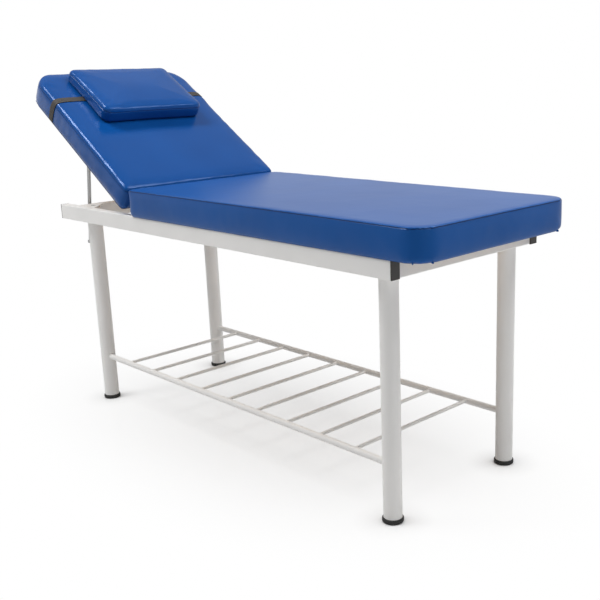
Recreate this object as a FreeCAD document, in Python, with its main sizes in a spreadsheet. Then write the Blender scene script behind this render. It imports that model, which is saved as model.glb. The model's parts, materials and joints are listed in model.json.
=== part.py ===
import FreeCAD, Part
import Sketcher
import os

# Examination table with a tilting backrest, modelled with the backrest raised.
# +X runs to the foot end, -Y is the right-hand side, +Z is up, and the floor is z = 0.
# Backrest pieces are drawn lying flat about the hinge axis, then turned up by the rest angle.

Vector = FreeCAD.Vector
Rotation = FreeCAD.Rotation
Placement = FreeCAD.Placement

SIZES = [
    ("frame_width", 600, "across the outer faces of the side rails"),
    ("rail_top", 715, "top of the rails above the floor"),
    ("rail_height", 50, "rail tube, upright side"),
    ("rail_width", 30, "rail tube, flat side"),
    ("rail_wall", 1.5, "rail tube wall"),
    ("rail_corner", 3, "outer corner radius of the rail tube"),
    ("rail_head_reach", 453, "hinge axis to the head end of the side rails"),
    ("rail_foot_reach", 1155, "hinge axis to the foot end of the side rails"),
    ("foot_rail_inset", 2.5, "side rail end to the foot cross rail"),
    ("head_rail_reach", 378.5, "hinge axis to the head face of the head cross rail"),
    ("hinge_rail_start", 6, "hinge cross rail's head face, headwards of the hinge axis"),
    ("cap_flange", 4, "rail end cap outside the tube"),
    ("cap_plug", 16, "rail end cap inside the tube"),
    ("cap_wall", 2, "wall of the cap's plug"),
    ("cap_round", 1.2, "rounded edge of the cap"),
    ("leg_diameter", 50.8, "leg tube"),
    ("leg_wall", 1.5, "leg tube wall"),
    ("fit_gap", 0.3, "weld or push fit gap beside a curved face"),
    ("plate_leg", 80, "corner plate along each rail"),
    ("plate_thickness", 5, "corner plate"),
    ("plug_depth", 14, "threaded plug in the top of a leg"),
    ("bolt_diameter", 10, "countersunk leg bolt"),
    ("bolt_length", 32, "leg bolt from the plate's top"),
    ("bolt_head", 18, "leg bolt head"),
    ("pad_foot_diameter", 58, "rubber foot"),
    ("pad_foot_height", 13, "rubber foot below the leg"),
    ("pad_foot_round", 4, "rounded lip of the foot"),
    ("pad_foot_plug", 22, "foot's plug inside the leg"),
    ("pad_foot_wall", 4, "wall of the foot's plug"),
    ("shelf_height", 160, "shelf tube axis above the floor"),
    ("shelf_tube", 19, "shelf side tube"),
    ("shelf_wall", 1.2, "shelf tube wall"),
    ("shelf_rod", 11, "shelf cross rod"),
    ("rod_spaces", 10, "equal spaces between the rods from leg to leg"),
    ("pad_overhang", 10, "cushions past the outer face of a rail"),
    ("seat_start", 17, "hinge axis to the seat cushion"),
    ("seat_length", 1242, "seat cushion"),
    ("backrest_start", 20.8, "hinge axis to the backrest cushion"),
    ("backrest_length", 688, "backrest cushion"),
    ("seat_corner", 58, "corner radius at the foot end of the seat"),
    ("backrest_corner", 85, "corner radius at the head end of the backrest"),
    ("pad_hinge_corner", 14, "corner radius at the hinge ends"),
    ("pad_tuck", 4, "cushion's foot drawn in under the edge"),
    ("pad_waist", 2.5, "cushion's side drawn in between its seams"),
    ("pad_skirt", 8, "height of the fullest line near the foot"),
    ("pad_seam", 70, "height of the top seam"),
    ("pad_edge", 80, "height where the crown starts"),
    ("pad_crown", 88, "height of the crown"),
    ("edge_inset", 9, "top edge rounding"),
    ("crown_inset", 160, "crown's rise from the side"),
    ("board_thickness", 15, "plywood board under a cushion"),
    ("board_inset", 12, "board inside the cushion's outline"),
    ("board_gap", 0.3, "board to cushion"),
    ("cleat_length", 40, "seat fixing cleat along the rail"),
    ("cleat_width", 24, "seat fixing cleat across"),
    ("cleat_thickness", 3, "seat fixing cleat"),
    ("cleat_inset", 220, "cleats from the hinge and foot cross rails"),
    ("screw_diameter", 5, "wood screw"),
    ("screw_bite", 11, "wood screw in the board"),
    ("screw_head", 10, "wood screw head"),
    ("screw_head_height", 3, "wood screw head"),
    ("hinge_rise", 20, "hinge axis above the rails"),
    ("hinge_inset", 70, "hinges from the inside of the rails"),
    ("hinge_barrel", 16, "hinge barrel"),
    ("hinge_pin", 8, "hinge pin"),
    ("barrel_length", 26, "hinge barrel"),
    ("lug_thickness", 5, "hinge lug's cheek"),
    ("lug_base", 3, "hinge lug's foot plate"),
    ("leaf_length", 96, "hinge leaf under the backrest"),
    ("leaf_width", 60, "hinge leaf"),
    ("leaf_thickness", 4, "hinge leaf"),
    ("leaf_start", 14, "hinge axis to the near end of the leaf"),
    ("run_gap", 0.3, "turning fit"),
    ("flat_gap", 0.5, "backrest above the rails when it lies flat"),
    ("rest_angle", 33, "backrest above level as modelled"),
    ("strut_reach", 402, "hinge axis to the strut pin along the backrest"),
    ("strut_drop", 46, "strut pin below the hinge axis when flat"),
    ("strut_inset", 49, "struts from the inside of the rails"),
    ("strut_diameter", 12.7, "support strut"),
    ("strut_length", 350, "support strut from its pin to its lower end"),
    ("eye_diameter", 18, "strut eye"),
    ("eye_width", 14, "strut eye"),
    ("strut_pin", 8, "strut pin"),
    ("ear_thickness", 3, "clevis ear"),
    ("clevis_length", 60, "clevis foot along the backrest"),
    ("clevis_back", 18, "clevis foot from its hinge end to the strut pin"),
    ("stop_diameter", 19, "stop collar at the strut's lower end"),
    ("stop_height", 9, "stop collar"),
    ("stop_round", 1.5, "stop collar's rims"),
    ("guide_reach", 400, "hinge axis to the middle of the guide slot"),
    ("guide_thickness", 4, "guide plate"),
    ("guide_width", 46, "guide plate across"),
    ("guide_slot", 22, "guide slot along the table"),
    ("guide_end", 434, "hinge axis to the outer face of the guide's upturn"),
    ("guide_upturn", 28, "guide upturn's height"),
    ("knob_height", 14, "clamp screw above the guide plate"),
    ("knob_screw", 8, "clamp screw"),
    ("knob_reach", 24, "clamp screw inside the upturn"),
    ("knob_diameter", 28, "clamp knob"),
    ("knob_length", 20, "clamp knob"),
    ("knob_stand", 3, "clamp knob clear of the upturn"),
    ("knob_round", 3, "clamp knob's rounded rim"),
    ("pillow_start", 370, "hinge axis to the pillow"),
    ("pillow_length", 289, "pillow along the backrest"),
    ("pillow_width", 408, "pillow across"),
    ("pillow_height", 60, "pillow"),
    ("pillow_corner", 22, "pillow corner radius"),
    ("pillow_lift", 2, "pillow above the crown, over the strap"),
    ("strap_place", 526, "hinge axis to the middle of the strap"),
    ("strap_width", 25, "strap"),
    ("strap_thickness", 1.2, "strap"),
    ("strap_gap", 0.4, "strap clear of the cushion"),
]

# Places worked out from the sizes above.
PLACES = [
    ("rail_bottom", "dims.rail_top - dims.rail_height"),
    ("rail_inside", "dims.frame_width / 2 - dims.rail_width"),
    ("pad_width", "dims.frame_width + 2 * dims.pad_overhang"),
    ("hinge_spread", "rail_inside - dims.hinge_inset"),
    ("strut_spread", "rail_inside - dims.strut_inset"),
    ("hinge_z", "dims.rail_top + dims.hinge_rise"),
    ("pad_base", "dims.flat_gap - dims.hinge_rise"),
    ("backrest_end", "dims.backrest_start + dims.backrest_length"),
    ("seat_end", "dims.seat_start + dims.seat_length"),
    ("head_span", "(backrest_end - dims.pad_tuck) * cos(dims.rest_angle) - pad_base * sin(dims.rest_angle)"),
    ("hinge_x", "(head_span - seat_end) / 2"),
    ("rail_start", "hinge_x - dims.rail_head_reach"),
    ("rail_length", "dims.rail_head_reach + dims.rail_foot_reach"),
    ("rail_end", "rail_start + rail_length"),
    ("foot_rail_x", "rail_end - dims.foot_rail_inset - dims.rail_width"),
    ("head_rail_x", "hinge_x - dims.head_rail_reach"),
    ("hinge_rail_x", "hinge_x - dims.hinge_rail_start"),
    ("leg_radius", "dims.leg_diameter / 2"),
    ("leg_bore", "leg_radius - dims.leg_wall"),
    ("leg_y", "rail_inside - leg_radius - dims.fit_gap"),
    ("foot_leg_x", "foot_rail_x - leg_radius - dims.fit_gap"),
    ("head_leg_x", "head_rail_x + dims.rail_width + leg_radius + dims.fit_gap"),
    ("plate_z", "dims.rail_top - dims.plate_thickness"),
    ("leg_length", "plate_z - dims.pad_foot_height"),
    ("rod_pitch", "(foot_leg_x - head_leg_x) / dims.rod_spaces"),
    ("strut_x", "hinge_x - dims.strut_reach * cos(dims.rest_angle) - dims.strut_drop * sin(dims.rest_angle)"),
    ("strut_z", "hinge_z + dims.strut_reach * sin(dims.rest_angle) - dims.strut_drop * cos(dims.rest_angle)"),
    ("guide_x", "hinge_x - dims.guide_reach"),
    ("guide_z", "rail_bottom - dims.guide_thickness"),
    ("strut_lean", "atan2(strut_x - guide_x; strut_z - guide_z - dims.guide_thickness / 2) / 1deg"),
    ("knob_z", "rail_bottom + dims.knob_height"),
    ("upturn_x", "hinge_x - dims.guide_end"),
    ("pillow_base", "pad_base + dims.pad_crown + dims.pillow_lift"),
]

SIDES = (("right", -1), ("left", 1))
ENDS = (("head", -1), ("foot", 1))
TURNS = {"X": Rotation(Vector(0, 1, 0), 90), "Y": Rotation(Vector(1, 0, 0), -90), "Z": Rotation()}

doc = FreeCAD.newDocument("examination_table")
dims = doc.addObject("Spreadsheet::Sheet", "dims")
for row, (alias, number, note) in enumerate(SIZES, 1):
    dims.set(f"A{row}", note)
    dims.set(f"B{row}", str(number))
    dims.setAlias(f"B{row}", alias)
places = doc.addObject("Spreadsheet::Sheet", "places")
for row, (alias, formula) in enumerate(PLACES, 1):
    places.setAlias(f"B{row}", alias)
    places.set(f"B{row}", "=" + formula)
doc.recompute()

pieces = []


def size(name):
    return float(dims.get(name))


def place(name):
    return float(places.get(name))


def keep(thing, label):
    thing.Label = label
    pieces.append(thing)
    return thing


def bind(thing, formulas):
    for name, formula in formulas.items():
        thing.setExpression(name, str(formula))


def move(thing, x, y, z):
    bind(thing, {"Placement.Base.x": x, "Placement.Base.y": y, "Placement.Base.z": z})
    return thing


def tilt(thing, x, z, angle):
    # The start angle only fixes the axis; the bound formula then gives the angle.
    thing.Placement = Placement(Vector(), Rotation(Vector(0, 1, 0), 10))
    bind(thing, {"Placement.Base.x": x, "Placement.Base.z": z, "Placement.Rotation.Angle": angle})
    return thing


def on_backrest(thing):
    return tilt(thing, "places.hinge_x", "places.hinge_z", "dims.rest_angle")


def box(name, length, width, height, x, y, z):
    thing = doc.addObject("Part::Box", name)
    bind(thing, {"Length": length, "Width": width, "Height": height})
    return move(thing, x, y, z)


def cylinder(name, diameter, length, x, y, z, along="Z"):
    thing = doc.addObject("Part::Cylinder", name)
    thing.Placement = Placement(Vector(), TURNS[along])
    bind(thing, {"Radius": f"({diameter}) / 2", "Height": length})
    return move(thing, x, y, z)


def any_edge(edge):
    return True


def rim(edge):
    return edge.Curve.TypeId == "Part::GeomCircle"


def runs_along_x(edge):
    return edge.BoundBox.XLength > max(edge.BoundBox.YLength, edge.BoundBox.ZLength)


def rounded(name, base, radius, wanted):
    """Fillet on the wanted edges; the base is worked out first, so that they can be chosen."""
    base.recompute()
    thing = doc.addObject("Part::Fillet", name)
    thing.Base = base
    thing.Edges = [(number, radius, radius) for number, edge in enumerate(base.Shape.Edges, 1) if wanted(edge)]
    return thing


def cut(name, base, tool):
    thing = doc.addObject("Part::Cut", name)
    thing.Base = base
    thing.Tool = tool
    return thing


def fuse(name, shapes):
    thing = doc.addObject("Part::MultiFuse", name)
    thing.Shapes = shapes
    thing.Refine = True
    return thing


def origin_plane(body, role):
    return next(plane for plane in body.Origin.OriginFeatures if plane.Role == role)


def body_sketch(body, name, role):
    sketch = body.newObject("Sketcher::SketchObject", name)
    sketch.AttachmentSupport = [(origin_plane(body, role), "")]
    sketch.MapMode = "FlatFace"
    return sketch


def dimension(sketch, tag, formula, constraint):
    number = sketch.addConstraint(constraint)
    sketch.renameConstraint(number, tag)
    sketch.setExpression(f"Constraints.{tag}", str(formula))


def rounded_rectangle(sketch, tag, low_x, high_x, half, low_round, high_round):
    """Rectangle about the X axis; each formula gives a distance from the origin."""
    first = sketch.GeometryCount
    long, wide, soft = 40.0, 20.0, 4.0
    quarter = FreeCAD.Units.parseQuantity("90 deg").getValueAs("rad").Value
    corners = [
        ((-long + soft, -wide), (long - soft, -wide), (long - soft, -wide + soft), 3),
        ((long, -wide + soft), (long, wide - soft), (long - soft, wide - soft), 0),
        ((long - soft, wide), (-long + soft, wide), (-long + soft, wide - soft), 1),
        ((-long, wide - soft), (-long, -wide + soft), (-long + soft, -wide + soft), 2),
    ]
    for start, end, centre, turn in corners:
        sketch.addGeometry(Part.LineSegment(Vector(*start), Vector(*end)))
        circle = Part.Circle(Vector(*centre), Vector(0, 0, 1), soft)
        sketch.addGeometry(Part.ArcOfCircle(circle, turn * quarter, (turn + 1) * quarter))
    for index in range(4):
        line = first + 2 * index
        following = first + (2 * index + 2) % 8
        sketch.addConstraint(Sketcher.Constraint("Tangent", line, 2, line + 1, 1))
        sketch.addConstraint(Sketcher.Constraint("Tangent", line + 1, 2, following, 1))
    for line, kind in ((0, "Horizontal"), (2, "Vertical"), (4, "Horizontal"), (6, "Vertical")):
        sketch.addConstraint(Sketcher.Constraint(kind, first + line))
    sketch.addConstraint(Sketcher.Constraint("Equal", first + 1, first + 3))
    sketch.addConstraint(Sketcher.Constraint("Equal", first + 5, first + 7))
    dimension(sketch, tag + "_high_round", high_round, Sketcher.Constraint("Radius", first + 1, soft))
    dimension(sketch, tag + "_low_round", low_round, Sketcher.Constraint("Radius", first + 5, soft))
    dimension(sketch, tag + "_high", high_x, Sketcher.Constraint("DistanceX", -1, 1, first + 2, 1, long))
    dimension(sketch, tag + "_low", low_x, Sketcher.Constraint("DistanceX", first + 6, 1, -1, 1, long))
    dimension(sketch, tag + "_near", half, Sketcher.Constraint("DistanceY", first, 1, -1, 1, wide))
    dimension(sketch, tag + "_far", half, Sketcher.Constraint("DistanceY", -1, 1, first + 4, 1, wide))


def pad(body, name, sketch, length, midplane=False):
    feature = body.newObject("PartDesign::Pad", name)
    feature.Profile = sketch
    feature.Midplane = midplane
    bind(feature, {"Length": length})
    return feature


def rail(label, role, length, x, y, z):
    """Rectangular steel tube drawn across its own middle and padded both ways."""
    body = doc.addObject("PartDesign::Body", label)
    section = body_sketch(body, label + "_section", role)
    wide, high = "dims.rail_width / 2", "dims.rail_height / 2"
    corner, wall = "dims.rail_corner", "dims.rail_wall"
    rounded_rectangle(section, "outer", wide, wide, high, corner, corner)
    inner = f"{corner} - {wall} + 0.2"
    inner_wide = f"{wide} - {wall}"
    rounded_rectangle(section, "inner", inner_wide, inner_wide, f"{high} - {wall}", inner, inner)
    pad(body, label + "_tube", section, length, True)
    return keep(move(body, x, y, z), label)


def round_tube(label, diameter, wall, length, x, y, z):
    body = doc.addObject("PartDesign::Body", label)
    section = body_sketch(body, label + "_section", "XY_Plane")
    for tag, formula in (("outer", f"{diameter} / 2"), ("bore", f"{diameter} / 2 - {wall}")):
        number = section.addGeometry(Part.Circle(Vector(), Vector(0, 0, 1), 20 if tag == "outer" else 10))
        section.addConstraint(Sketcher.Constraint("Coincident", number, 3, -1, 1))
        dimension(section, tag, formula, Sketcher.Constraint("Radius", number, 20 if tag == "outer" else 10))
    pad(body, label + "_tube", section, length)
    return keep(move(body, x, y, z), label)


def group(label, shapes):
    thing = doc.addObject("Part::Feature", label)
    thing.Shape = Part.makeCompound(shapes)
    return keep(thing, label)


def wood_screw(x, y, z):
    """Pan head below z and a shank that bites upwards into a board."""
    head = Part.makeCylinder(size("screw_head") / 2, size("screw_head_height"),
                             Vector(x, y, z - size("screw_head_height")))
    lower_rim = min(head.Edges, key=lambda edge: edge.BoundBox.ZMax)
    head = head.makeFillet(1, [lower_rim])
    shank = Part.makeCylinder(size("screw_diameter") / 2, wood_screw.length, Vector(x, y, z))
    return head.fuse(shank).removeSplitter()


# Welded frame: side rails, three cross rails, their end caps and the corner plates.
def frame():
    middle_z = "places.rail_bottom + dims.rail_height / 2"
    for side, sign in SIDES:
        y = f"{sign} * (dims.frame_width / 2 - dims.rail_width / 2)"
        rail(f"side_rail_{side}", "YZ_Plane", "places.rail_length",
             "places.rail_start + places.rail_length / 2", y, middle_z)
    for name in ("foot", "hinge", "head"):
        x = f"places.{name}_rail_x"
        rail(f"{name}_cross_rail", "XZ_Plane", "2 * places.rail_inside",
             f"{x} + dims.rail_width / 2", "0", middle_z)
    for end, way in ENDS:
        for side, sign in SIDES:
            rail_cap(end, way, side, sign)
            corner_plate(end, way, side, sign)


def rail_cap(end, way, side, sign):
    label = f"rail_cap_{end}_{side}"
    start = "places.rail_end" if way > 0 else "places.rail_start - dims.cap_flange"
    low_y = f"{sign} * (dims.frame_width / 2 - dims.rail_width / 2) - dims.rail_width / 2"
    flange = box(label + "_flange", "dims.cap_flange", "dims.rail_width", "dims.rail_height",
                 start, low_y, "places.rail_bottom")
    soft = rounded(label + "_soft", flange, size("cap_round"), any_edge)
    inset = "(dims.rail_wall + dims.fit_gap)"
    plug_x = "places.rail_end - dims.cap_plug" if way > 0 else "places.rail_start"
    core_x = "places.rail_end - 2 * dims.cap_plug" if way > 0 else "places.rail_start"
    plug = box(label + "_plug", "dims.cap_plug", f"dims.rail_width - 2 * {inset}",
               f"dims.rail_height - 2 * {inset}", plug_x, f"{low_y} + {inset}", f"places.rail_bottom + {inset}")
    plug_soft = rounded(label + "_plug_soft", plug, size("rail_corner") - size("rail_wall"), runs_along_x)
    hollow = f"({inset} + dims.cap_wall)"
    core = box(label + "_core", "2 * dims.cap_plug", f"dims.rail_width - 2 * {hollow}",
               f"dims.rail_height - 2 * {hollow}", core_x, f"{low_y} + {hollow}",
               f"places.rail_bottom + {hollow}")
    return keep(fuse(label, [soft, cut(label + "_sleeve", plug_soft, core)]), label)


def corner_plate(end, way, side, sign):
    """Triangular plate flush with the rails, with a countersunk hole over the leg."""
    label = f"corner_plate_{end}_{side}"
    corner_x = "places.foot_rail_x" if way > 0 else "places.head_rail_x + dims.rail_width"
    leg_x = f"places.{end}_leg_x"
    leg_y = f"{sign} * places.leg_y"
    outline = doc.addObject("Sketcher::SketchObject", label + "_outline")
    reach_x, reach_y = -way * 50.0, -sign * 50.0
    corners = [Vector(), Vector(reach_x, 0), Vector(0, reach_y)]
    for index in range(3):
        outline.addGeometry(Part.LineSegment(corners[index], corners[(index + 1) % 3]))
    for index in range(3):
        outline.addConstraint(Sketcher.Constraint("Coincident", index, 2, (index + 1) % 3, 1))
    outline.addConstraint(Sketcher.Constraint("Coincident", 0, 1, -1, 1))
    outline.addConstraint(Sketcher.Constraint("Horizontal", 0))
    outline.addConstraint(Sketcher.Constraint("Vertical", 2))
    dimension(outline, "along", "dims.plate_leg", Sketcher.Constraint("Distance", 0, 50.0))
    dimension(outline, "across", "dims.plate_leg", Sketcher.Constraint("Distance", 2, 50.0))
    move(outline, corner_x, f"{sign} * places.rail_inside", "places.plate_z")
    blank = doc.addObject("Part::Extrusion", label + "_blank")
    blank.Base = outline
    blank.DirMode = "Custom"
    blank.Dir = Vector(0, 0, 1)
    blank.Solid = True
    bind(blank, {"LengthFwd": "dims.plate_thickness"})
    hole = cylinder(label + "_hole", "dims.bolt_diameter + 2 * dims.fit_gap", "3 * dims.plate_thickness",
                    leg_x, leg_y, "places.plate_z - dims.plate_thickness")
    sink = doc.addObject("Part::Cone", label + "_sink")
    bind(sink, {"Radius1": "dims.bolt_diameter / 2 + dims.fit_gap",
                "Radius2": "dims.bolt_head / 2 + dims.fit_gap",
                "Height": "(dims.bolt_head - dims.bolt_diameter) / 2"})
    move(sink, leg_x, leg_y, "dims.rail_top - (dims.bolt_head - dims.bolt_diameter) / 2")
    return keep(cut(label, blank, fuse(label + "_countersink", [hole, sink])), label)


# Legs, their threaded plugs and countersunk bolts, and the rubber feet.
def legs():
    plugs = []
    bolts = []
    head_height = (size("bolt_head") - size("bolt_diameter")) / 2
    for end, way in ENDS:
        for side, sign in SIDES:
            x, y = f"places.{end}_leg_x", f"{sign} * places.leg_y"
            round_tube(f"leg_{end}_{side}", "dims.leg_diameter", "dims.leg_wall", "places.leg_length",
                       x, y, "dims.pad_foot_height")
            rubber_foot(f"foot_pad_{end}_{side}", x, y)
            spot = Vector(place(f"{end}_leg_x"), sign * place("leg_y"), place("plate_z"))
            below = spot - Vector(0, 0, size("plug_depth"))
            disc = Part.makeCylinder(place("leg_bore") - size("fit_gap"), size("plug_depth"), below)
            thread = Part.makeCylinder(size("bolt_diameter") / 2 + size("run_gap"), size("plug_depth"), below)
            plugs.append(disc.cut(thread))
            bolts.append(leg_bolt(spot + Vector(0, 0, size("plate_thickness")), head_height))
    group("leg_top_plugs", plugs)
    group("leg_bolts", bolts)


def leg_bolt(top, head_height):
    down = Vector(0, 0, -1)
    head = Part.makeCone(size("bolt_head") / 2, size("bolt_diameter") / 2, head_height, top, down)
    shank = Part.makeCylinder(size("bolt_diameter") / 2, size("bolt_length"), top, down)
    socket = Part.makeCylinder(size("bolt_diameter") * 0.3, head_height, top, down)
    return head.fuse(shank).cut(socket).removeSplitter()


def rubber_foot(label, x, y):
    lip = cylinder(label + "_lip", "dims.pad_foot_diameter", "dims.pad_foot_height", x, y, "0")
    soft = rounded(label + "_soft", lip, size("pad_foot_round"), rim)
    sleeve = "2 * (places.leg_bore - dims.fit_gap)"
    plug = cylinder(label + "_plug", sleeve, "dims.pad_foot_plug", x, y, "dims.pad_foot_height")
    core = cylinder(label + "_core", f"{sleeve} - 2 * dims.pad_foot_wall", "2 * dims.pad_foot_plug",
                    x, y, "dims.pad_foot_height")
    return keep(fuse(label, [soft, cut(label + "_sleeve", plug, core)]), label)


# Wire shelf: two tubes coped on the legs and rods coped on the tubes.
def shelf():
    span = "places.foot_leg_x - places.head_leg_x"
    tubes = []
    for side, sign in SIDES:
        label = f"shelf_tube_{side}"
        y = f"{sign} * places.leg_y"
        start = ("places.head_leg_x", y, "dims.shelf_height")
        outer = cylinder(label + "_outer", "dims.shelf_tube", span, *start, "X")
        bore = cylinder(label + "_bore", "dims.shelf_tube - 2 * dims.shelf_wall", span, *start, "X")
        cope = [cylinder(f"{label}_cope_{end}", "dims.leg_diameter + 2 * dims.fit_gap", "2 * dims.shelf_height",
                         f"places.{end}_leg_x", y, "0") for end, way in ENDS]
        keep(cut(label, outer, fuse(label + "_cuts", [bore] + cope)), label)
        tubes.append(cylinder(label + "_space", "dims.shelf_tube + 2 * dims.fit_gap", span, *start, "X"))
    spaces = fuse("shelf_tube_spaces", tubes)
    for number in range(1, int(size("rod_spaces"))):
        label = f"shelf_rod_{number}"
        blank = cylinder(label + "_blank", "dims.shelf_rod", "2 * places.leg_y",
                         f"places.head_leg_x + {number} * places.rod_pitch", "-places.leg_y",
                         "dims.shelf_height", "Y")
        keep(cut(label, blank, spaces), label)


# Padded pieces: a crowned loft over a plywood board.
def section(name, low_x, high_x, half, low_round, high_round, inset, z):
    sketch = doc.addObject("Sketcher::SketchObject", name)
    rounded_rectangle(sketch, "edge", f"{low_x} - ({inset})", f"{high_x} - ({inset})", f"{half} - ({inset})",
                      f"max({low_round} - ({inset}); 5)", f"max({high_round} - ({inset}); 5)")
    bind(sketch, {"Placement.Base.z": z})
    return sketch


def loft(name, sections):
    thing = doc.addObject("Part::Loft", name)
    thing.Sections = sections
    thing.Solid = True
    thing.Ruled = True
    return thing


PAD_LEVELS = (
    ("0", "dims.pad_tuck"),
    ("dims.pad_skirt", "0"),
    ("(dims.pad_skirt + dims.pad_seam) / 2", "dims.pad_waist"),
    ("dims.pad_seam", "0"),
    ("(dims.pad_seam + dims.pad_edge) / 2 + 1", "dims.edge_inset / 4"),
    ("dims.pad_edge", "dims.edge_inset"),
    ("dims.pad_edge + 0.6 * (dims.pad_crown - dims.pad_edge)", "0.4 * dims.crown_inset"),
    ("dims.pad_crown", "dims.crown_inset"),
)


def board(label, half_length, low_round, high_round, thickness, grow, z):
    body = doc.addObject("PartDesign::Body", label)
    outline = body_sketch(body, label + "_outline", "XY_Plane")
    inset = f"(dims.board_inset - {grow})"
    rounded_rectangle(outline, "edge", f"{half_length} - {inset}", f"{half_length} - {inset}",
                      f"places.pad_width / 2 - {inset}", f"max({low_round} - {inset}; 3)",
                      f"max({high_round} - {inset}; 3)")
    pad(body, label + "_sheet", outline, thickness)
    bind(body, {"Placement.Base.z": z})
    return body


def cushion(label, half_length, low_round, high_round):
    """Cushion about its own middle, its foot at z = 0 and a recess for the board."""
    levels = [section(f"{label}_level_{index}", half_length, half_length, "places.pad_width / 2",
                      low_round, high_round, inset, z) for index, (z, inset) in enumerate(PAD_LEVELS)]
    recess = board(label + "_recess", half_length, low_round, high_round,
                   "dims.board_thickness + dims.board_gap", "dims.board_gap", "0")
    return keep(cut(label, loft(label + "_form", levels), recess), label)


def seat():
    half, low, high = "dims.seat_length / 2", "dims.pad_hinge_corner", "dims.seat_corner"
    spot = ("places.hinge_x + dims.seat_start + dims.seat_length / 2", "0", "dims.rail_top")
    move(keep(board("seat_board", half, low, high, "dims.board_thickness", "0", "0"), "seat_board"), *spot)
    move(cushion("seat_cushion", half, low, high), *spot)
    cleats = []
    screws = []
    wood_screw.length = size("cleat_thickness") + size("screw_bite")
    near_hinge = place("hinge_rail_x") + size("rail_width") + size("cleat_inset")
    near_foot = place("foot_rail_x") - size("cleat_inset")
    low_z = size("rail_top") - size("cleat_thickness")
    for x in (near_hinge, near_foot):
        for side, sign in SIDES:
            edge = sign * place("rail_inside")
            corner = Vector(x - size("cleat_length") / 2, min(edge, edge - sign * size("cleat_width")), low_z)
            plate = Part.makeBox(size("cleat_length"), size("cleat_width"), size("cleat_thickness"), corner)
            middle = edge - sign * size("cleat_width") / 2
            hole = Part.makeCylinder(size("screw_diameter") / 2 + size("run_gap"), size("cleat_thickness"),
                                     Vector(x, middle, low_z))
            cleats.append(plate.cut(hole))
            screws.append(wood_screw(x, middle, low_z))
    group("seat_cleats", cleats)
    group("seat_screws", screws)


# Backrest, drawn flat with the hinge axis at the origin and its head end towards -X.
# Its fixings' screws stand at these shares of the leaf and of the clevis foot.
LEAF_SCREWS = (0.35, 0.8)
LEAF_ROWS = (-0.3, 0.3)
CLEVIS_SCREWS = (0.58, 0.86)


def screw_hole(name, x, y):
    return cylinder(name, "dims.screw_diameter + 2 * dims.run_gap", "3 * dims.leaf_thickness", x, y,
                    "places.pad_base - 2 * dims.leaf_thickness")


def backrest():
    half, low, high = "dims.backrest_length / 2", "dims.backrest_corner", "dims.pad_hinge_corner"
    panel = board("backrest_board", half, low, high, "dims.board_thickness", "0", "0")
    for thing in (keep(panel, "backrest_board"), cushion("backrest_cushion", half, low, high)):
        middle = "(dims.backrest_start + dims.backrest_length / 2)"
        x = f"places.hinge_x - {middle} * cos(dims.rest_angle) + places.pad_base * sin(dims.rest_angle)"
        z = f"places.hinge_z + {middle} * sin(dims.rest_angle) + places.pad_base * cos(dims.rest_angle)"
        tilt(thing, x, z, "dims.rest_angle")
    screws = []
    leaf_under = place("pad_base") - size("leaf_thickness")
    clevis_under = place("pad_base") - size("ear_thickness")
    for side, sign in SIDES:
        for share in LEAF_SCREWS:
            for edge in LEAF_ROWS:
                wood_screw.length = size("leaf_thickness") + size("screw_bite")
                x = -size("leaf_start") - share * size("leaf_length")
                y = sign * place("hinge_spread") + edge * size("leaf_width")
                screws.append(wood_screw(x, y, leaf_under))
        for share in CLEVIS_SCREWS:
            wood_screw.length = size("ear_thickness") + size("screw_bite")
            x = -size("strut_reach") + size("clevis_back") - share * size("clevis_length")
            screws.append(wood_screw(x, sign * place("strut_spread"), clevis_under))
    on_backrest(group("backrest_screws", screws))


# Hinges: a forked lug on the hinge cross rail, a barrel on the backrest and a pin through both.
def hinges():
    pins = []
    for side, sign in SIDES:
        middle = f"{sign} * places.hinge_spread"
        hinge_lug(f"hinge_lug_{side}", middle)
        hinge_knuckle(f"hinge_knuckle_{side}", middle)
        length = size("barrel_length") + 2 * size("lug_thickness") + 2 * size("run_gap")
        start = Vector(place("hinge_x"), sign * place("hinge_spread") - length / 2, place("hinge_z"))
        pin = Part.makeCylinder(size("hinge_pin") / 2, length, start, Vector(0, 1, 0))
        rims = [Part.makeCylinder(size("hinge_pin") * 0.75, 2, start + Vector(0, shift, 0), Vector(0, 1, 0))
                for shift in (-2, length)]
        pins.append(pin.multiFuse(rims).removeSplitter())
    group("hinge_pins", pins)


def hinge_lug(label, middle):
    half = "(dims.barrel_length / 2 + dims.run_gap)"
    wide = f"2 * ({half} + dims.lug_thickness)"
    base_x = "places.hinge_rail_x"
    depth = "dims.hinge_rail_start + dims.hinge_barrel / 2"
    base = box(label + "_base", depth, wide, "dims.lug_base", base_x,
               f"{middle} - {half} - dims.lug_thickness", "dims.rail_top")
    cheeks = []
    for tag, start in (("near", f"{middle} - {half} - dims.lug_thickness"), ("far", f"{middle} + {half}")):
        cheeks.append(box(f"{label}_{tag}", depth, "dims.lug_thickness", "dims.hinge_rise", base_x, start,
                          "dims.rail_top"))
        cheeks.append(cylinder(f"{label}_{tag}_eye", "dims.hinge_barrel", "dims.lug_thickness",
                               "places.hinge_x", start, "places.hinge_z", "Y"))
    bore = cylinder(label + "_bore", "dims.hinge_pin + 2 * dims.run_gap", f"2 * ({wide})",
                    "places.hinge_x", f"{middle} - ({wide})", "places.hinge_z", "Y")
    return keep(cut(label, fuse(label + "_fork", [base] + cheeks), bore), label)


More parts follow.
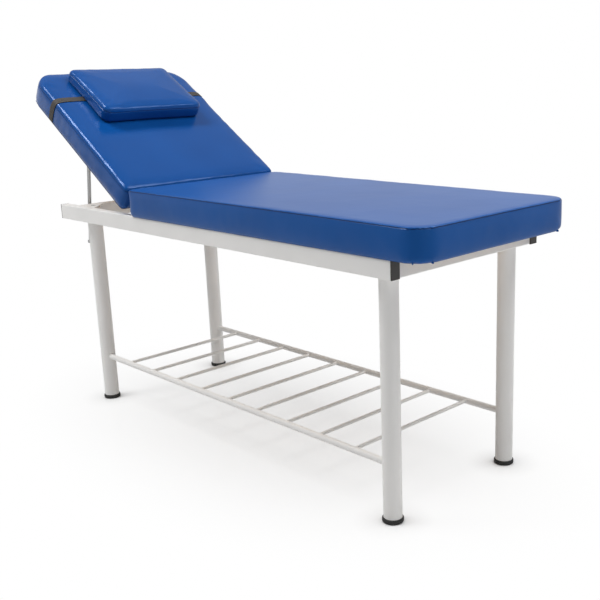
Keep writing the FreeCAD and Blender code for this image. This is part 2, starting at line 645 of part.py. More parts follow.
def hinge_knuckle(label, middle):
    """Barrel about the hinge axis with an arm down to a leaf under the board."""
    low = f"{middle} - dims.barrel_length / 2"
    barrel = cylinder(label + "_barrel", "dims.hinge_barrel", "dims.barrel_length", "0", low, "0", "Y")
    leaf = box(label + "_leaf", "dims.leaf_length", "dims.leaf_width", "dims.leaf_thickness",
               "-dims.leaf_start - dims.leaf_length", f"{middle} - dims.leaf_width / 2",
               "places.pad_base - dims.leaf_thickness")
    arm = doc.addObject("Sketcher::SketchObject", label + "_arm_outline")
    points = [Vector(-4, -2), Vector(3, -6), Vector(-14, -23), Vector(-17, -19)]
    for index in range(4):
        arm.addGeometry(Part.LineSegment(points[index], points[(index + 1) % 4]))
    for index in range(4):
        arm.addConstraint(Sketcher.Constraint("Coincident", index, 2, (index + 1) % 4, 1))
    drop = "-places.pad_base"
    spots = (
        ("dims.hinge_barrel * 0.42", "dims.hinge_barrel * 0.1"),
        ("dims.hinge_barrel * 0.12", "dims.hinge_barrel * 0.46"),
        ("dims.leaf_start", f"{drop} + dims.leaf_thickness"),
        ("dims.leaf_start + 4", drop),
    )
    for index, (left, down) in enumerate(spots):
        dimension(arm, f"left_{index}", left, Sketcher.Constraint("DistanceX", index, 1, -1, 1, 10))
        dimension(arm, f"down_{index}", down, Sketcher.Constraint("DistanceY", index, 1, -1, 1, 10))
    arm.Placement = Placement(Vector(), Rotation(Vector(1, 0, 0), 90))
    bind(arm, {"Placement.Base.y": f"{middle} + dims.barrel_length / 2"})
    web = doc.addObject("Part::Extrusion", label + "_arm")
    web.Base = arm
    web.DirMode = "Custom"
    web.Dir = Vector(0, -1, 0)
    web.Solid = True
    bind(web, {"LengthFwd": "dims.barrel_length"})
    bore = cylinder(label + "_bore", "dims.hinge_pin + 2 * dims.run_gap", "2 * dims.barrel_length",
                    "0", f"{middle} - dims.barrel_length", "0", "Y")
    holes = [screw_hole(f"{label}_hole_{number}_{row}", f"-dims.leaf_start - {share} * dims.leaf_length",
                        f"{middle} + {edge} * dims.leaf_width")
             for number, share in enumerate(LEAF_SCREWS) for row, edge in enumerate(LEAF_ROWS)]
    blank = fuse(label + "_blank", [barrel, web, leaf])
    return keep(on_backrest(cut(label, blank, fuse(label + "_cuts", [bore] + holes))), label)


# Support struts: a clevis and pin on the backrest, a rod with a stop, a guide and a clamp knob.
def struts():
    pins = []
    for side, sign in SIDES:
        middle = f"{sign} * places.strut_spread"
        strut_clevis(f"strut_clevis_{side}", middle)
        strut_rod(side, middle)
        guide_bracket(f"guide_bracket_{side}", middle)
        clamp_knob(f"clamp_knob_{side}", middle)
        reach = size("eye_width") / 2 + size("run_gap") + size("ear_thickness")
        start = Vector(-size("strut_reach"), sign * place("strut_spread") - reach, -size("strut_drop"))
        pin = Part.makeCylinder(size("strut_pin") / 2, 2 * reach, start, Vector(0, 1, 0))
        rims = [Part.makeCylinder(size("strut_pin") * 0.75, 2, start + Vector(0, shift, 0), Vector(0, 1, 0))
                for shift in (-2, 2 * reach)]
        pins.append(pin.multiFuse(rims).removeSplitter())
    on_backrest(group("strut_pins", pins))


def strut_clevis(label, middle):
    half = "(dims.eye_width / 2 + dims.run_gap)"
    wide = f"2 * ({half} + dims.ear_thickness)"
    foot_z = "places.pad_base - dims.ear_thickness"
    foot = box(label + "_foot", "dims.clevis_length", wide, "dims.ear_thickness",
               "-dims.strut_reach + dims.clevis_back - dims.clevis_length",
               f"{middle} - {half} - dims.ear_thickness", foot_z)
    ears = []
    for tag, start in (("near", f"{middle} - {half} - dims.ear_thickness"), ("far", f"{middle} + {half}")):
        ears.append(box(f"{label}_{tag}", "dims.eye_diameter", "dims.ear_thickness",
                        f"{foot_z} + dims.strut_drop", "-dims.strut_reach - dims.eye_diameter / 2", start,
                        "-dims.strut_drop"))
        ears.append(cylinder(f"{label}_{tag}_eye", "dims.eye_diameter", "dims.ear_thickness",
                             "-dims.strut_reach", start, "-dims.strut_drop", "Y"))
    bore = cylinder(label + "_bore", "dims.strut_pin + 2 * dims.run_gap", f"2 * ({wide})",
                    "-dims.strut_reach", f"{middle} - ({wide})", "-dims.strut_drop", "Y")
    pin_back = "-dims.strut_reach + dims.clevis_back"
    holes = [screw_hole(f"{label}_hole_{number}", f"{pin_back} - {share} * dims.clevis_length", middle)
             for number, share in enumerate(CLEVIS_SCREWS)]
    blank = fuse(label + "_blank", [foot] + ears)
    return keep(on_backrest(cut(label, blank, fuse(label + "_cuts", [bore] + holes))), label)


def strut_rod(side, middle):
    """Rod hung from its eye at the origin, with a collar at its lower end."""
    label = f"strut_rod_{side}"
    eye = cylinder(label + "_eye", "dims.eye_diameter", "dims.eye_width",
                   "0", f"{middle} - dims.eye_width / 2", "0", "Y")
    bar = cylinder(label + "_bar", "dims.strut_diameter", "dims.strut_length", "0", middle, "-dims.strut_length")
    bore = cylinder(label + "_bore", "dims.strut_pin + 2 * dims.run_gap", "2 * dims.eye_width",
                    "0", f"{middle} - dims.eye_width", "0", "Y")
    turned = ("places.strut_x", "places.strut_z", "places.strut_lean")
    keep(tilt(cut(label, fuse(label + "_blank", [eye, bar]), bore), *turned), label)
    stop = f"strut_stop_{side}"
    collar = cylinder(stop + "_collar", "dims.stop_diameter", "dims.stop_height", "0", middle,
                      "-dims.strut_length - 1")
    soft = rounded(stop + "_soft", collar, size("stop_round"), rim)
    hole = cylinder(stop + "_hole", "dims.strut_diameter + 0.2", "2 * dims.stop_height", "0", middle,
                    "-dims.strut_length - 0.1")
    keep(tilt(cut(stop, soft, hole), *turned), stop)


def guide_bracket(label, middle):
    """Plate under the head cross rail with a long slot for the rod and an upturn for the clamp screw."""
    low_y = f"{middle} - dims.guide_width / 2"
    plate = box(label + "_plate", "places.head_rail_x + dims.rail_width - places.upturn_x", "dims.guide_width",
                "dims.guide_thickness", "places.upturn_x", low_y, "places.guide_z")
    upturn = box(label + "_upturn", "dims.guide_thickness", "dims.guide_width",
                 "dims.guide_upturn + dims.guide_thickness", "places.upturn_x", low_y, "places.guide_z")
    width = "dims.strut_diameter + 4 * dims.run_gap"
    ends = [cylinder(f"{label}_slot_{tag}", width, "3 * dims.guide_thickness",
                     f"places.guide_x {way} (dims.guide_slot - {width}) / 2", middle,
                     "places.guide_z - dims.guide_thickness") for tag, way in (("head", "-"), ("foot", "+"))]
    slot = box(label + "_slot", f"dims.guide_slot - ({width})", width, "3 * dims.guide_thickness",
               f"places.guide_x - (dims.guide_slot - {width}) / 2", f"{middle} - ({width}) / 2",
               "places.guide_z - dims.guide_thickness")
    tapped = cylinder(label + "_tapped", "dims.knob_screw + 2 * dims.run_gap", "3 * dims.guide_thickness",
                      "places.upturn_x - dims.guide_thickness", middle, "places.knob_z", "X")
    openings = fuse(label + "_cuts", ends + [slot, tapped])
    return keep(cut(label, fuse(label + "_bent", [plate, upturn]), openings), label)


def clamp_knob(label, middle):
    outside = "places.upturn_x - dims.knob_stand"
    head = cylinder(label + "_head", "dims.knob_diameter", "dims.knob_length", f"{outside} - dims.knob_length",
                    middle, "places.knob_z", "X")
    soft = rounded(label + "_soft", head, size("knob_round"), rim)
    screw = cylinder(label + "_screw", "dims.knob_screw", "dims.knob_stand + dims.knob_reach + dims.knob_round",
                     f"{outside} - dims.knob_round", middle, "places.knob_z", "X")
    return keep(fuse(label, [soft, screw]), label)


# Head pillow and the elastic strap that holds it round the backrest.
PILLOW_LEVELS = ((0, 12), (0.08, 3), (0.32, 1), (0.62, 1.5), (0.8, 5), (0.9, 16), (1, 60))


def pillow():
    half = "dims.pillow_length / 2"
    levels = [section(f"pillow_level_{index}", half, half, "dims.pillow_width / 2", "dims.pillow_corner",
                      "dims.pillow_corner", inset, f"{share} * dims.pillow_height")
              for index, (share, inset) in enumerate(PILLOW_LEVELS)]
    middle = "(dims.pillow_start + dims.pillow_length / 2)"
    x = f"places.hinge_x - {middle} * cos(dims.rest_angle) + places.pillow_base * sin(dims.rest_angle)"
    z = f"places.hinge_z + {middle} * sin(dims.rest_angle) + places.pillow_base * cos(dims.rest_angle)"
    keep(tilt(loft("pillow", levels), x, z, "dims.rest_angle"), "pillow")


def strap():
    """Closed band offset from the backrest cushion's own cross-section."""
    levels = (
        (0, size("pad_tuck")),
        (size("pad_skirt"), 0),
        (size("pad_seam"), 0),
        ((size("pad_seam") + size("pad_edge")) / 2 + 1, size("edge_inset") / 4),
        (size("pad_edge"), size("edge_inset")),
        (size("pad_edge") + 0.6 * (size("pad_crown") - size("pad_edge")), 0.4 * size("crown_inset")),
        (size("pad_crown"), size("crown_inset")),
    )
    x = -size("strap_place") - size("strap_width") / 2
    one_side = [Vector(x, place("pad_width") / 2 - inset, place("pad_base") + height)
                for height, inset in levels]
    other_side = [Vector(point.x, -point.y, point.z) for point in reversed(one_side)]
    loop = Part.makePolygon(one_side + other_side + one_side[:1])
    inner = loop.makeOffset2D(size("strap_gap"))
    outer = loop.makeOffset2D(size("strap_gap") + size("strap_thickness"))
    band = Part.Face([outer, inner]) if outer.Length > inner.Length else Part.Face([inner, outer])
    band.validate()
    thing = doc.addObject("Part::Feature", "pillow_strap")
    thing.Shape = band.extrude(Vector(size("strap_width"), 0, 0))
    keep(on_backrest(thing), "pillow_strap")


frame()
legs()
shelf()
seat()
backrest()
hinges()
struts()
pillow()
strap()
doc.recompute()

for thing in doc.Objects:
    if "Invalid" in thing.State or "Error" in thing.State:
        raise RuntimeError(f"{thing.Name} did not recompute: {thing.State}")
for piece in pieces:
    if piece.Shape.isNull() or not piece.Shape.isValid() or not piece.Shape.Solids:
        raise RuntimeError(f"{piece.Label} has no valid solid")

os.makedirs("parts", exist_ok=True)
for piece in pieces:
    piece.Shape.exportStep(f"parts/{piece.Label}.step")
print(len(pieces), "pieces written")
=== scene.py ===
# %% [markdown]
# # An examination table, dressed
#
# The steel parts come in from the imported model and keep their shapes. This lesson gives them paint, rubber
# and plastic, makes the three vinyl pads with a cloth simulation, and adds the strap, the hems and the weld
# beads. Everything is in metres; small sizes are written in millimetres and turned by one function.

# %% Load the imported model
import json
from math import cos, pi, radians, sin

import bmesh
import bpy
import numpy as np
from mathutils import Matrix, Vector, noise


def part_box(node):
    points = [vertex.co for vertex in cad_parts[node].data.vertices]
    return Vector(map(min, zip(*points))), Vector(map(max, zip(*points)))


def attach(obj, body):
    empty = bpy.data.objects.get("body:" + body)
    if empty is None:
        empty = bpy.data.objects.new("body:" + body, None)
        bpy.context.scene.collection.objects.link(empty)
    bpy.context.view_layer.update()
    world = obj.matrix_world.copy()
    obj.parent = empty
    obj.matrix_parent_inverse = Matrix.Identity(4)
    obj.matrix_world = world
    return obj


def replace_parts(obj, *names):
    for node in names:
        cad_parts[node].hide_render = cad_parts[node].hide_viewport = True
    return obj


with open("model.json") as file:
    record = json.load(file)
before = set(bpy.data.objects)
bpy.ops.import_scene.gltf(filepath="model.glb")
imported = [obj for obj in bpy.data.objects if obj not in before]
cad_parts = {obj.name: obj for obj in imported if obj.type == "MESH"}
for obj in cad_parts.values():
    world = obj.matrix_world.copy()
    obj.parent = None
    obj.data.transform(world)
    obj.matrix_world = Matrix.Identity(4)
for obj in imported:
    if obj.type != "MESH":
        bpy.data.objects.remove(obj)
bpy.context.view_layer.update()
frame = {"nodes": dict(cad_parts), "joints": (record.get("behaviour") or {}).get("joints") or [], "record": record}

scene = bpy.context.scene
nodes = frame["nodes"]


# %% [markdown]
# ## Units and the hinge
#
# The backrest, its pillow and the strap are all tilted about one hinge. They are easiest to model lying
# flat, with the hinge at the origin and the head end along -X, and are then turned up and moved into place
# as meshes.

# %% Millimetres, the hinge and the tilt
def mm(value):
    return value / 1000


joints = {joint["name"]: joint for joint in frame["joints"]}
hinge = Vector(joints["backrest_tilt"]["pos_m"])
TILT = radians(33)
RAISED = Matrix.Translation(hinge) @ Matrix.Rotation(TILT, 4, "Y")
print("hinge at", [round(value, 4) for value in hinge])


# %% [markdown]
# ## Colour and nodes
#
# Colours are noted as sRGB hex, the way a paint chart gives them, and the shader wants linear values. A
# material is a chain of nodes, so one small function adds a node, sets its inputs and links it to the node
# before.

# %% Helpers for materials
def linear(hex_colour):
    channels = [int(hex_colour[place:place + 2], 16) / 255 for place in (1, 3, 5)]
    return [c / 12.92 if c <= 0.04045 else ((c + 0.055) / 1.055) ** 2.4 for c in channels] + [1]


def add(tree, kind, inputs=None, **settings):
    """A node with its settings; an input given as a socket is linked, anything else is a value."""
    node = tree.nodes.new(kind)
    for name, value in settings.items():
        setattr(node, name, value)
    for name, value in (inputs or {}).items():
        if isinstance(value, bpy.types.NodeSocket):
            tree.links.new(value, node.inputs[name])
        else:
            node.inputs[name].default_value = value
    return node


def material(name):
    made = bpy.data.materials.new(name)
    made.use_nodes = True
    tree = made.node_tree
    return made, tree, tree.nodes["Principled BSDF"]


def ramp(tree, factor, stops):
    """Colour ramp from (place, sRGB hex) stops."""
    node = add(tree, "ShaderNodeValToRGB", {"Fac": factor})
    elements = node.color_ramp.elements
    while len(elements) < len(stops):
        elements.new(0.5)
    for element, (place, colour) in zip(elements, stops):
        element.position = place
        element.color = linear(colour)
    return node.outputs["Color"]


# %% [markdown]
# ## Blue vinyl
#
# The covers are plasticised PVC on a knitted backing: a calendered film with a fine pebble grain, glossy
# enough to mirror the room as a soft pale sheen at low angles. The grain is about 1 mm on the real sheet,
# too fine for this picture, so it is drawn at 2.5 mm and kept shallow. A second, broad unevenness of about
# 90 mm lets the sheen wander as it does over foam. The seat's cover is worn a little duller than the raised
# pads'. Both are the same vinyl, but the seat's blue is painted about a sixth lighter, as painted light for
# its brighter top. The seam's groove is painted darker, a painted shade added to the groove's own shade, and
# each pad marks it with a "seam" attribute of its points.

# %% Vinyl of the pads
def vinyl(name, base, dark, roughness, turn=0.0):
    made, tree, shader = material(name)
    place = add(tree, "ShaderNodeTexCoord").outputs["Object"]
    flat = add(tree, "ShaderNodeMapping", {"Vector": place, "Rotation": (0, -turn, 0)}).outputs["Vector"]
    grain = add(tree, "ShaderNodeTexVoronoi", {"Vector": flat, "Scale": 1 / mm(2.5)}, feature="SMOOTH_F1")
    foam = add(tree, "ShaderNodeTexNoise", {"Vector": flat, "Scale": 1 / mm(90), "Detail": 2.0})
    tint = add(tree, "ShaderNodeTexNoise", {"Vector": flat, "Scale": 1 / mm(240), "Detail": 1.0})
    colour = ramp(tree, tint.outputs["Fac"], ((0.3, dark), (0.7, base)))
    # the seam's groove points are painted darker: a painted shade on top of the groove's real shade
    seam_shade_mask = add(tree, "ShaderNodeAttribute", attribute_name="seam").outputs["Fac"]
    colour_with_seam_shade = add(tree, "ShaderNodeMixRGB", {"Fac": seam_shade_mask, "Color1": colour, "Color2": linear("#0A2F66")})
    tree.links.new(colour_with_seam_shade.outputs["Color"], shader.inputs["Base Color"])
    soft = add(tree, "ShaderNodeBump", {"Height": foam.outputs["Fac"], "Strength": 0.12, "Distance": mm(6)})
    fine = add(tree, "ShaderNodeBump", {"Height": grain.outputs["Distance"], "Strength": 0.10,
                                        "Distance": mm(0.5), "Normal": soft.outputs["Normal"]})
    tree.links.new(fine.outputs["Normal"], shader.inputs["Normal"])
    shader.inputs["IOR"].default_value = 1.5
    shader.inputs["Specular IOR Level"].default_value = 0.4
    shader.inputs["Specular Tint"].default_value = linear("#9DBDF2")
    shader.inputs["Roughness"].default_value = roughness
    return made


# the seat's blue is painted about a sixth lighter than the raised pads' same vinyl: painted light for its brighter
# top
seat_vinyl_painted_lighter = vinyl("calendered_vinyl_blue", "#0D5099", "#0B4B91", 0.28)
raised_vinyl = vinyl("calendered_vinyl_blue_raised", "#0C4A90", "#0B4588", 0.2, TILT)
print("vinyl:", seat_vinyl_painted_lighter.name, raised_vinyl.name)


# %% [markdown]
# ## Painted steel
#
# Rails, legs and shelf are mild steel tube with an off-white polyester powder coat, baked on. Powder coat
# is never quite flat: it has an orange peel of 1 to 2 mm, drawn here at 3 mm, and its satin gloss spreads
# highlights wide.

# %% Powder coat
powder_coat, tree, shader = material("powder_coat_off_white")
place = add(tree, "ShaderNodeTexCoord").outputs["Object"]
peel = add(tree, "ShaderNodeTexNoise", {"Vector": place, "Scale": 1 / mm(3), "Detail": 1.0})
cloudy = add(tree, "ShaderNodeTexNoise", {"Vector": place, "Scale": 1 / mm(150), "Detail": 2.0})
tree.links.new(ramp(tree, cloudy.outputs["Fac"], ((0.3, "#F1F0EE"), (0.7, "#F6F5F3"))),
               shader.inputs["Base Color"])
bump = add(tree, "ShaderNodeBump", {"Height": peel.outputs["Fac"], "Strength": 0.06, "Distance": mm(0.4)})
tree.links.new(bump.outputs["Normal"], shader.inputs["Normal"])
shader.inputs["Roughness"].default_value = 0.38
print("paint:", powder_coat.name)


# %% [markdown]
# ## Bright fittings, plastic, rubber and plywood
#
# The struts, pins and screws are zinc plated: grey metal with faint drawing lines along the bar. Caps and
# knobs are moulded black plastic with a spark-eroded texture, the feet are matt rubber, and the boards are
# birch plywood whose grain runs along the table.

# %% Zinc plate
zinc_plate, tree, shader = material("zinc_plated_steel")
place = add(tree, "ShaderNodeTexCoord").outputs["Object"]
stretched = add(tree, "ShaderNodeMapping", {"Vector": place, "Scale": (1, 1, 0.05)}).outputs["Vector"]
drawn = add(tree, "ShaderNodeTexNoise", {"Vector": stretched, "Scale": 1 / mm(2), "Detail": 3.0})
tree.links.new(ramp(tree, drawn.outputs["Fac"], ((0.3, "#A3A4A4"), (0.7, "#B9BABA"))),
               shader.inputs["Base Color"])
rough = add(tree, "ShaderNodeMapRange", {"Value": drawn.outputs["Fac"], "To Min": 0.28, "To Max": 0.42})
tree.links.new(rough.outputs["Result"], shader.inputs["Roughness"])
shader.inputs["Metallic"].default_value = 1.0
print("metal:", zinc_plate.name)


# %% Moulded plastic and rubber
def moulded(name, colour, paler, roughness, spark):
    made, tree, shader = material(name)
    place = add(tree, "ShaderNodeTexCoord").outputs["Object"]
    texture = add(tree, "ShaderNodeTexNoise", {"Vector": place, "Scale": 1 / mm(spark), "Detail": 2.0})
    tree.links.new(ramp(tree, texture.outputs["Fac"], ((0.35, colour), (0.75, paler))),
                   shader.inputs["Base Color"])
    bump = add(tree, "ShaderNodeBump", {"Height": texture.outputs["Fac"], "Strength": 0.15,
                                        "Distance": mm(0.3)})
    tree.links.new(bump.outputs["Normal"], shader.inputs["Normal"])
    shader.inputs["Roughness"].default_value = roughness
    return made


cap_plastic = moulded("moulded_polyethylene_black", "#343130", "#403D3B", 0.5, 1.2)
knob_plastic = moulded("moulded_phenolic_black", "#1E1D1D", "#2A2928", 0.32, 2.0)
foot_rubber = moulded("moulded_rubber_black", "#1C1B1B", "#292827", 0.7, 2.5)
print("moulded:", cap_plastic.name, knob_plastic.name, foot_rubber.name)

# %% Plywood
plywood, tree, shader = material("birch_plywood")
place = add(tree, "ShaderNodeTexCoord").outputs["Object"]
along = add(tree, "ShaderNodeMapping", {"Vector": place, "Scale": (0.06, 1, 1)}).outputs["Vector"]
grain = add(tree, "ShaderNodeTexNoise", {"Vector": along, "Scale": 1 / mm(14), "Detail": 6.0,
                                         "Distortion": 0.6})
tree.links.new(ramp(tree, grain.outputs["Fac"], ((0.3, "#A98258"), (0.55, "#C9A679"), (0.75, "#D8BC92"))),
               shader.inputs["Base Color"])
bump = add(tree, "ShaderNodeBump", {"Height": grain.outputs["Fac"], "Strength": 0.2, "Distance": mm(0.4)})
tree.links.new(bump.outputs["Normal"], shader.inputs["Normal"])
shader.inputs["Roughness"].default_value = 0.62
print("wood:", plywood.name)

# %% Give every carried-over solid its finish
finishes = {"frame_paint": powder_coat, "zinc_steel": zinc_plate, "cap_plastic": cap_plastic,
            "knob_plastic": knob_plastic, "foot_rubber": foot_rubber, "plywood": plywood}
painted = 0
for part in frame["record"]["subparts"]:
    finish = finishes.get(part["material_slot"])
    if finish:
        nodes[part["node"]].data.materials.clear()
        nodes[part["node"]].data.materials.append(finish)
        painted += 1
print(f"{painted} solids finished")


# %% [markdown]
# ## A pad, from block to cushion
#
# A pad is a foam slab on a board, in a cover sewn from a top panel and a side band. Boxes look stiff, and
# sculpting by hand is slow, so the cover is blown up by a cloth simulation: a block with rounded corners is
# remeshed into even squares, pressure pushes it out, and the seam and the stapled foot are held. How far a
# point may move is capped, because foam stops the cover from ballooning. At the end a few strokes of
# smoothing iron out the steps of the remesh, so that a highlight runs along the edge in one line.

# %% The block that a pad starts from
def end_edges(bm, sign):
    """Upright edges at one end of the block."""
    return [edge for edge in bm.edges
            if all(vert.co.x * sign > 0 for vert in edge.verts) and edge.verts[0].co.z != edge.verts[1].co.z
            and edge.verts[0].co.xy == edge.verts[1].co.xy]


def block(length, width, height, low_corner, high_corner, edge_round):
    bm = bmesh.new()
    size = Matrix.Diagonal((length, width, height, 1))
    bmesh.ops.create_cube(bm, size=1, matrix=Matrix.Translation((0, 0, height / 2)) @ size)
    for sign, radius in ((-1, low_corner), (1, high_corner)):
        bmesh.ops.bevel(bm, geom=end_edges(bm, sign), offset=radius, segments=10, affect="EDGES", profile=0.5,
                        material=-1)
    for level, radius in ((height, edge_round), (0, mm(4))):
        ring = [edge for edge in bm.edges if all(abs(vert.co.z - level) < mm(1) for vert in edge.verts)]
        bmesh.ops.bevel(bm, geom=ring, offset=radius, segments=4, affect="EDGES", profile=0.5, material=-1)
    return bm


def as_object(name, bm):
    mesh = bpy.data.meshes.new(name)
    bm.to_mesh(mesh)
    bm.free()
    made = bpy.data.objects.new(name, mesh)
    scene.collection.objects.link(made)
    return made


def points_of(mesh):
    flat = np.empty(len(mesh.vertices) * 3)
    mesh.vertices.foreach_get("co", flat)
    return flat.reshape(-1, 3)


def baked(piece):
    """The piece's mesh with its modifiers worked in."""
    return bpy.data.meshes.new_from_object(piece.evaluated_get(bpy.context.evaluated_depsgraph_get()))


# %% Blow the cover up
CLOTH_FRAMES, CLOTH_PRESSURE = 20, 4.0


def swell(name, bm, voxel, held_levels, cap, strokes):
    """A cover blown up from a block, held at some levels, and smoothed by a number of strokes."""
    start = as_object(name, bm)
    remesh = start.modifiers.new("even_squares", "REMESH")
    remesh.mode = "VOXEL"
    remesh.voxel_size = voxel
    even = baked(start)
    start.modifiers.remove(remesh)
    start.data = even
    before = points_of(even)
    held = start.vertex_groups.new(name="held")
    rows = [np.abs(before[:, 2] - level) < 0.75 * voxel for level in held_levels]
    held.add(np.flatnonzero(np.any(rows, axis=0)).tolist(), 1.0, "REPLACE")
    cloth = start.modifiers.new("cover", "CLOTH")
    cloth.settings.use_pressure = True
    cloth.settings.uniform_pressure_force = CLOTH_PRESSURE
    cloth.settings.effector_weights.gravity = 0.0
    cloth.settings.vertex_group_mass = "held"
    cloth.point_cache.frame_end = CLOTH_FRAMES
    for number in range(1, CLOTH_FRAMES + 1):
        scene.frame_set(number)
    after = points_of(baked(start))
    start.modifiers.remove(cloth)
    scene.frame_set(1)
    moved = after - before
    far = np.linalg.norm(moved, axis=1, keepdims=True)
    moved *= cap * np.tanh(far / cap) / np.maximum(far, 1e-9)
    even.vertices.foreach_set("co", (before + moved).ravel())
    start.vertex_groups.clear()
    print(f"{name}: {len(before)} points, most moved {1000 * far.max():.1f} mm before the cap")
    iron = start.modifiers.new("ironed", "SMOOTH")
    iron.iterations = strokes
    smooth = start.modifiers.new("smooth", "SUBSURF")
    smooth.levels = smooth.render_levels = 1
    start.data = baked(start)
    start.modifiers.clear()
    return start


# %% [markdown]
# ## Crown, crisp edges and puckers
#
# Firm foam gives a flat top that ends in a narrow roll. The blown-up cover is rounder than that, so the
# points of the roll are pushed out along their own direction from its centre, which squares it. Then the
# top gets its slight crown, each side is drawn in between its corners, the edge puckers where the panel is
# eased onto the band, and the band ripples a little.

# %% Ease a pad into shape
def to_outline(points, half, low_corner, high_corner):
    """For each point: how far it is inside the pad's outline, and the way straight out to it."""
    radius = np.where(points[:, 0] < 0, low_corner, high_corner)[:, None]
    past = np.abs(points[:, :2]) - np.array(half[:2]) + radius
    corner = np.maximum(past, 0)
    length = np.linalg.norm(corner, axis=1, keepdims=True)
    inside = radius - length - np.minimum(past.max(axis=1, keepdims=True), 0)
    nearer = np.where(past[:, :1] > past[:, 1:], [[1, 0]], [[0, 1]])
    out = np.where(length > 0, corner / np.maximum(length, 1e-9), nearer) * np.sign(points[:, :2])
    return inside[:, 0], out


def square_up(points, inside, out, top, power, roll=mm(15)):
    """Push the points of the rolled edge from a round towards a square section."""
    across, up = 1 - inside / roll, 1 - (top - points[:, 2]) / roll
    here = (across > 0) & (up > 0)
    across, up = np.maximum(across, 0), np.maximum(up, 0)
    reach = np.maximum(np.hypot(across, up), 1e-9)
    push = ((across / reach) ** power + (up / reach) ** power) ** (-1 / power) - 1
    push = np.where(here, push * roll, 0)
    points[:, :2] += (push * across)[:, None] * out
    points[:, 2] += push * up


def ease(points, half, corners, top, seam, power, crown, pull, pucker):
    """Square the roll, raise the crown, draw the sides in and pucker the edge and the band."""
    inside, out = to_outline(points, half, *corners)
    square_up(points, inside, out, top, power)
    rise = np.clip(inside / (0.7 * half.y), 0, 1)
    points[:, 2] += np.where(points[:, 2] > seam, crown * rise ** 2 * (3 - 2 * rise), 0)
    share = points[:, :2] / np.array(half[:2])
    points[:, 0] -= pull * share[:, 0] * (1 - share[:, 1] ** 2)
    points[:, 1] -= pull * share[:, 1] * (1 - share[:, 0] ** 2)
    edge = (np.exp(-((points[:, 2] - top + mm(3)) / mm(8)) ** 2)
            * np.exp(-(np.maximum(inside, 0) / mm(25)) ** 2))
    wave = np.array([noise.noise(Vector(point) / mm(95)) + 0.5 * noise.noise(Vector(point) / mm(32))
                     for point in points])
    points[:, 2] += pucker * edge * wave
    points[:, :2] += (pucker * edge * wave)[:, None] * out
    band = (inside < mm(6)) & (points[:, 2] < seam)
    middle = np.clip(4 * points[:, 2] * (seam - points[:, 2]) / seam ** 2, 0, 1)
    points[:, :2] += np.where(band, pucker * middle * wave, 0)[:, None] * out


def ease_piece(piece, *shape, **amounts):
    points = points_of(piece.data)
    ease(points, *shape, **amounts)
    piece.data.vertices.foreach_set("co", points.ravel())
    piece.data.update()


# %% [markdown]
# ## Sewing the top panel to the band
#
# Panel and band meet just under the rolled edge and show a thin dark line. It is a groove whose real shade
# is deepened by painted shade. It is narrower than the squares of the remeshed cover, so it is cut in
# afterwards: four level cuts go round the pad, and the middle two are drawn in and painted darker.

# %% Cut the seam
def everything(bm):
    return bm.verts[:] + bm.edges[:] + bm.faces[:]


def level_cut(bm, height, **clear):
    cut = bmesh.ops.bisect_plane(bm, geom=everything(bm), dist=1e-6, plane_co=(0, 0, height),
                                 plane_no=(0, 0, 1), **clear)
    return [vert for vert in cut["geom_cut"] if isinstance(vert, bmesh.types.BMVert)]


# each row: height and way out in millimetres, then the painted shade of that ring (1 in the groove, 0 outside)
GROOVE = ((-2.2, 0, 0), (-0.7, -1.8, 1), (0.7, -1.8, 1), (2.2, 0, 0))


def sew(bm, height):
    """Level cuts at (height, way out, painted groove shade) round the seam, in millimetres."""
    seam = bm.verts.layers.float.get("seam") or bm.verts.layers.float.new("seam")
    rings = [(level_cut(bm, height + mm(up)), mm(out), dark) for up, out, dark in GROOVE]
    bm.normal_update()
    # the two drawn-in rings get a painted shade in the groove
    for ring, out, dark in rings:
        for vert in ring:
            vert.co += out * Vector((vert.normal.x, vert.normal.y, 0)).normalized()
            vert[seam] = dark
    return sum(len(ring) for ring, _, _ in rings)


# %% [markdown]
# ## Folding the cover under the board
#
# Below, the vinyl is pulled round the plywood and stapled. The open foot of the cover is extruded in under
# the board as a hem, and back out and up as the pocket that the board sits in, so the pad stays a closed
# form. Round a corner there is too much vinyl for the turn, and it bunches into small folds.

# %% Hem and pocket
def fold_under(bm, half, steps):
    """Extrude the open foot through (inset, height) steps and close it on top of the board."""
    level_cut(bm, mm(1.2), clear_inner=True)
    loop = [edge for edge in bm.edges if edge.is_boundary]
    corners = {vert for edge in loop for vert in edge.verts}
    now = Vector((max(abs(vert.co.x) for vert in corners), max(abs(vert.co.y) for vert in corners)))
    for inset, height in steps:
        made = bmesh.ops.extrude_edge_only(bm, edges=loop)["geom"]
        loop = [part for part in made if isinstance(part, bmesh.types.BMEdge)]
        verts = [part for part in made if isinstance(part, bmesh.types.BMVert)]
        goal = half.xy - Vector((inset, inset))
        bmesh.ops.scale(bm, verts=verts, vec=(goal.x / now.x, goal.y / now.y, 1))
        for vert in verts:
            vert.co.z = height
        now = goal
    bmesh.ops.contextual_create(bm, geom=loop)
    bmesh.ops.recalc_face_normals(bm, faces=bm.faces[:])


HEM = [(mm(6), mm(0)), (mm(9), mm(-0.3)), (mm(48), mm(-0.3)), (mm(48), mm(-0.02)), (mm(11.7), mm(-0.02)),
       (mm(11.7), mm(15.3))]


PLEAT_TURNS, PLEAT_SIZE = (26, 82), 3.0


